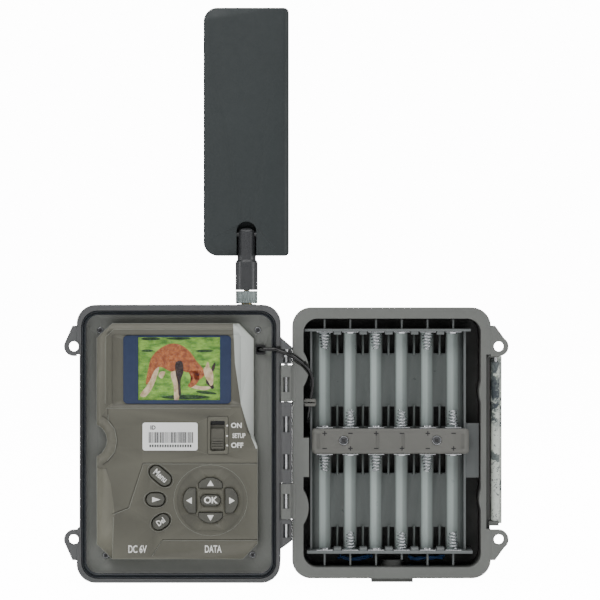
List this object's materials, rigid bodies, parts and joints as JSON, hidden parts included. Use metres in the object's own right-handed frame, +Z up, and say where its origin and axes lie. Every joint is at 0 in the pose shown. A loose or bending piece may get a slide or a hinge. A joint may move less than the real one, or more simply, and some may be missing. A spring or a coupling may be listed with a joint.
{
  "type": "trail camera",
  "caption": "Cellular trail camera opened like a book: control panel with small screen and keys, AA battery bay, side clasp, padlock eyes and a flat antenna that swivels and tilts.",
  "frame": {"origin": "centre of the open camera's footprint at its lowest face, on the case hinge's axis in X", "axes": "+Z up along the case hinge and the antenna; -Y faces the viewer, the inside of both halves; +X towards the battery half"},
  "size_m": [0.2558, 0.0492, 0.3319],
  "materials": {
    "case_dark": "fine matte texture",
    "case_grey": "fine matte texture",
    "frame_grey": "matte",
    "panel": "satin olive grey",
    "tray": "satin blue grey",
    "gasket": "silicone",
    "rubber": "matte rubber",
    "keys": "silicone keys",
    "camo": "film-dipped camouflage",
    "steel": "bright",
    "contact": "nickel plated",
    "brass": "gold plated",
    "nut": "knurled, grey",
    "screen_glass": "clear over dark print",
    "lens_glass": "coated",
    "ir_plastic": "infrared-pass plastic",
    "pir_plastic": "milky polyethylene",
    "lcd": "display",
    "board": "solder mask",
    "shield": "tinned",
    "label": "printed film",
    "antenna": "matte slate",
    "stem": "satin",
    "wire_blue": "insulation",
    "led": "epoxy"
  },
  "bodies": {
    "rear_case": {"rear_shell": "case_grey", "rear_back": "case_grey", "strap_rails": "case_grey", "bar_bosses": "case_grey", "rear_lugs": "case_grey", "battery_tray": "tray", "tray_upper_wall": "tray", "tray_lower_wall": "tray", "tray_left_wall": "tray", "tray_right_wall": "tray", "tray_bar": "tray", "bar_screws": "steel", "cell_springs": "contact", "cell_contacts": "contact", "battery_wires": "wire_blue", "tripod_insert": "brass", "hinge_pin": "steel", "latch_pin": "steel", "cable_clip": "case_grey"},
    "front_case": {"front_shell": "case_dark", "front_lugs": "case_dark", "gasket": "gasket", "inner_frame": "frame_grey", "frame_screws": "steel", "control_panel": "panel", "screen_window": "screen_glass", "lcd_module": "lcd", "switch_body": "shield", "tact_switches": "keys", "main_pcb": "board", "modem_module": "shield", "sd_slot": "shield", "io_board": "board", "dc_jack": "keys", "data_port": "shield", "id_label": "label", "lens_barrel": "keys", "lens_window": "lens_glass", "image_sensor": "board", "ir_board": "board", "ir_leds": "led", "ir_window": "ir_plastic", "pir_lens": "pir_plastic", "pir_sensor": "shield", "antenna_connector": "brass", "cable_grommet": "rubber", "power_cable": "rubber"},
    "latch": {"latch": "camo"},
    "port_cover": {"port_cover": "rubber"},
    "antenna_nut": {"antenna_nut": "nut"},
    "antenna_stem": {"antenna_stem": "stem", "antenna_plug": "brass", "antenna_hinge_pin": "steel"},
    "antenna_paddle": {"paddle_front": "antenna", "paddle_back": "antenna", "radiator_board": "board"},
    "power_switch": {"power_switch_knob": "panel"},
    "menu_key": {"menu_key": "keys"},
    "play_key": {"play_key": "keys"},
    "delete_key": {"delete_key": "keys"},
    "ok_key": {"ok_key": "keys"},
    "up_key": {"up_key": "keys"},
    "down_key": {"down_key": "keys"},
    "left_key": {"left_key": "keys"},
    "right_key": {"right_key": "keys"}
  },
  "joints": [
    {"name": "case_hinge", "type": "hinge", "parent": "rear_case", "child": "front_case", "pos_m": [0, -0.0208, 0.08], "axis": [0, 0, 1], "range_deg": [0, 180], "deforming": ["power_cable"]},
    {"name": "latch_hinge", "type": "hinge", "parent": "rear_case", "child": "latch", "pos_m": [0.1206, -0.0145, 0.0812], "axis": [0, 0, -1], "range_deg": [0, 180]},
    {"name": "port_cover_hinge", "type": "hinge", "parent": "front_case", "child": "port_cover", "pos_m": [-0.065, 0.0025, 0.0011], "axis": [1, 0, 0], "range_deg": [0, 80]},
    {"name": "antenna_nut_spin", "type": "hinge", "parent": "front_case", "child": "antenna_nut", "pos_m": [-0.0231, -0.0065, 0.1645], "axis": [0, 0, 1], "continuous": true},
    {"name": "antenna_swivel", "type": "hinge", "parent": "front_case", "child": "antenna_stem", "pos_m": [-0.0231, -0.0065, 0.167], "axis": [0, 0, 1], "continuous": true},
    {"name": "antenna_tilt", "type": "hinge", "parent": "antenna_stem", "child": "antenna_paddle", "pos_m": [-0.0231, -0.0079, 0.2009], "axis": [1, 0, 0], "range_deg": [0, 90]},
    {"name": "power_switch_slide", "type": "slide", "parent": "front_case", "child": "power_switch", "axis": [0, 0, 1], "range_m": [0, 0.004]},
    {"name": "menu_key_press", "type": "slide", "parent": "front_case", "child": "menu_key", "axis": [0, 1, 0], "range_m": [0, 0.0008], "stiffness_N_per_m": 300},
    {"name": "play_key_press", "type": "slide", "parent": "front_case", "child": "play_key", "axis": [0, 1, 0], "range_m": [0, 0.0008], "stiffness_N_per_m": 300},
    {"name": "delete_key_press", "type": "slide", "parent": "front_case", "child": "delete_key", "axis": [0, 1, 0], "range_m": [0, 0.0008], "stiffness_N_per_m": 300},
    {"name": "ok_key_press", "type": "slide", "parent": "front_case", "child": "ok_key", "axis": [0, 1, 0], "range_m": [0, 0.0008], "stiffness_N_per_m": 300},
    {"name": "up_key_press", "type": "slide", "parent": "front_case", "child": "up_key", "axis": [0, 1, 0], "range_m": [0, 0.0008], "stiffness_N_per_m": 300},
    {"name": "down_key_press", "type": "slide", "parent": "front_case", "child": "down_key", "axis": [0, 1, 0], "range_m": [0, 0.0008], "stiffness_N_per_m": 300},
    {"name": "left_key_press", "type": "slide", "parent": "front_case", "child": "left_key", "axis": [0, 1, 0], "range_m": [0, 0.0008], "stiffness_N_per_m": 300},
    {"name": "right_key_press", "type": "slide", "parent": "front_case", "child": "right_key", "axis": [0, 1, 0], "range_m": [0, 0.0008], "stiffness_N_per_m": 300}
  ]
}
